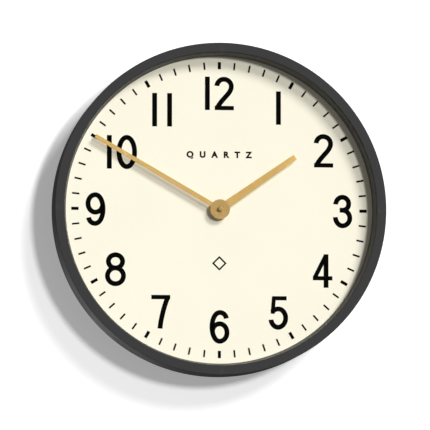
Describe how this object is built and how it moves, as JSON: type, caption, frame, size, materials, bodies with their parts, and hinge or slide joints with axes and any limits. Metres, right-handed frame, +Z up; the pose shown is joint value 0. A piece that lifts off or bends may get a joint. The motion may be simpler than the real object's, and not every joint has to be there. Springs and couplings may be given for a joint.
{
  "type": "wall clock",
  "caption": "Round wall clock: deep grey metal drum, domed glass, cream dial with numerals, flat gold hands, battery movement behind the dial.",
  "frame": {"origin": "in the plane of the wall, at the wall screw in the top of the hanger's keyhole, 186 mm above the hands' axis", "axes": "+Z up, +Y into the wall, +X to the right as the clock is read; the dial faces -Y"},
  "size_m": [0.45, 0.06, 0.45],
  "materials": {
    "case_paint": "satin dark grey powder coat",
    "clear_glass": "clear float glass, slightly raised in the middle",
    "black_rubber": "soft black rubber",
    "dial_cream": "aluminium sheet printed matt cream",
    "fibre_board": "brown hardboard",
    "white_spacer": "off-white moulded plastic",
    "zinc_steel": "bright zinc plate",
    "black_plastic": "fine-textured black plastic",
    "brass": "plain turned brass",
    "hand_gold": "matt brass-gold lacquer",
    "white_gear_plastic": "natural white acetal",
    "rotor_magnet": "dark plastic-bonded magnet",
    "copper_wire": "enamelled copper wire",
    "soft_iron": "bare soft iron",
    "circuit_board": "green solder mask",
    "battery_sleeve": "printed sleeve on a steel can",
    "knob_plastic": "black moulded plastic"
  },
  "bodies": {
    "case": {"back_panel": "case_paint", "back_screw_1": "zinc_steel", "back_screw_2": "zinc_steel", "back_screw_3": "zinc_steel", "back_screw_4": "zinc_steel", "board_spacer_1": "white_spacer", "board_spacer_2": "white_spacer", "board_spacer_3": "white_spacer", "board_spacer_4": "white_spacer", "brass_washer": "brass", "case_lug_1": "zinc_steel", "case_lug_2": "zinc_steel", "case_lug_3": "zinc_steel", "case_lug_4": "zinc_steel", "circuit_board": "circuit_board", "coil_bobbin": "white_gear_plastic", "coil_core": "soft_iron", "coil_winding": "copper_wire", "contact_negative": "zinc_steel", "contact_positive": "zinc_steel", "control_chip": "black_plastic", "dial": "dial_cream", "dial_board": "fibre_board", "drum_case": "case_paint", "hanger_plate": "zinc_steel", "hanger_rivet_1": "zinc_steel", "hanger_rivet_2": "zinc_steel", "hex_nut": "brass", "inner_ring": "case_paint", "lens": "clear_glass", "lens_gasket": "black_rubber", "mounting_bushing": "brass", "quartz_crystal": "zinc_steel", "rubber_washer": "black_rubber", "shell_front": "black_plastic", "shell_rear": "black_plastic", "stator": "soft_iron", "train_bridge": "white_gear_plastic", "wall_bumper_1": "black_rubber", "wall_bumper_2": "black_rubber"},
    "minute": {"cannon_pinion": "brass", "minute_hand": "hand_gold", "hand_nut": "hand_gold"},
    "hour": {"hour_wheel": "brass", "hour_hand": "hand_gold"},
    "motion": {"motion_wheel": "white_gear_plastic"},
    "knob": {"setting_knob": "knob_plastic"},
    "second": {"second_wheel": "white_gear_plastic"},
    "intermediate": {"intermediate_wheel": "white_gear_plastic"},
    "rotor": {"rotor": "rotor_magnet"},
    "third": {"third_wheel": "white_gear_plastic"},
    "centre": {"centre_wheel": "white_gear_plastic"},
    "battery": {"battery_cell": "battery_sleeve"}
  },
  "joints": [
    {"name": "minute_turn", "type": "hinge", "parent": "case", "child": "minute", "pos_m": [0, -0.0448, -0.186], "axis": [0, 1, 0], "continuous": true},
    {"name": "hour_turn", "type": "hinge", "parent": "case", "child": "hour", "pos_m": [0, -0.0414, -0.186], "axis": [0, 1, 0], "continuous": true},
    {"name": "motion_turn", "type": "hinge", "parent": "case", "child": "motion", "pos_m": [-0.009, -0.026, -0.186], "axis": [0, 1, 0], "continuous": true},
    {"name": "knob_turn", "type": "hinge", "parent": "case", "child": "knob", "pos_m": [-0.01912, -0.012, -0.186], "axis": [0, 1, 0], "continuous": true},
    {"name": "second_turn", "type": "hinge", "parent": "case", "child": "second", "pos_m": [0, -0.0193, -0.186], "axis": [0, 1, 0], "continuous": true},
    {"name": "intermediate_turn", "type": "hinge", "parent": "case", "child": "intermediate", "pos_m": [0.00843, -0.0177, -0.1801], "axis": [0, 1, 0], "continuous": true},
    {"name": "rotor_turn", "type": "hinge", "parent": "case", "child": "rotor", "pos_m": [0.01203, -0.0214, -0.17386], "axis": [0, 1, 0], "continuous": true},
    {"name": "third_turn", "type": "hinge", "parent": "case", "child": "third", "pos_m": [-0.0052, -0.0209, -0.17699], "axis": [0, 1, 0], "continuous": true},
    {"name": "centre_turn", "type": "hinge", "parent": "case", "child": "centre", "pos_m": [0, -0.0228, -0.186], "axis": [0, 1, 0], "continuous": true},
    {"name": "battery_lift", "type": "slide", "parent": "case", "child": "battery", "axis": [0, 1, 0], "range_m": [0, 0.022]}
  ],
  "couplings": [
    {"joint": "hour_turn", "follows": "minute_turn", "ratio": 0.083333},
    {"joint": "motion_turn", "follows": "minute_turn", "ratio": -0.33333},
    {"joint": "knob_turn", "follows": "minute_turn", "ratio": 0.66667},
    {"joint": "intermediate_turn", "follows": "second_turn", "ratio": -6},
    {"joint": "rotor_turn", "follows": "second_turn", "ratio": 30},
    {"joint": "third_turn", "follows": "second_turn", "ratio": -0.13333},
    {"joint": "centre_turn", "follows": "second_turn", "ratio": 0.016667}
  ]
}
